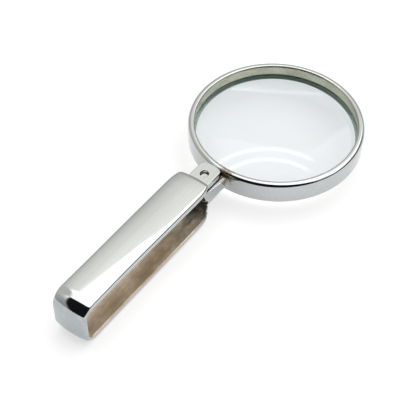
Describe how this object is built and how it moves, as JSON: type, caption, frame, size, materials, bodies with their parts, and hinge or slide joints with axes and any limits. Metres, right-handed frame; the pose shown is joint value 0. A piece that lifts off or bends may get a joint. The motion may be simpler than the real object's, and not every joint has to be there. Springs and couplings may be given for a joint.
{
  "type": "folding hand magnifier",
  "caption": "Folding hand magnifier: a plano-convex lens in a plated metal ring, pivoted in the forked ears of a looped bar grip that folds over the lens.",
  "frame": {"origin": "bottom centre of the object's box at rest, on the plane that the grip's lower face lies in", "axes": "+Z along the lens axis and the pivot; +X along the grip from its closed end towards the lens; the rest pose has the lens swung 8.2 degrees off the grip's line towards -Y"},
  "size_m": [0.1328, 0.06, 0.0176],
  "materials": {
    "grip_chrome": "polished bright plating outside, satin and warmer inside the loop",
    "ring_chrome": "polished bright plating",
    "lens_glass": "clear polished glass with a ground edge",
    "keeper_steel": "plain turned steel",
    "pin_steel": "bright steel, plain end faces",
    "washer_fibre": "matt dark fibre"
  },
  "bodies": {
    "grip": {"handle": "grip_chrome", "pivot_pin": "pin_steel", "upper_washer": "washer_fibre", "lower_washer": "washer_fibre"},
    "lens_frame": {"ring_frame": "ring_chrome", "lens": "lens_glass", "lens_retaining_ring": "keeper_steel"}
  },
  "joints": [
    {"name": "fold_hinge", "type": "hinge", "parent": "grip", "child": "lens_frame", "pos_m": [0.00178, 0.00499, 0.0088], "axis": [0, 0, 1], "continuous": true}
  ]
}
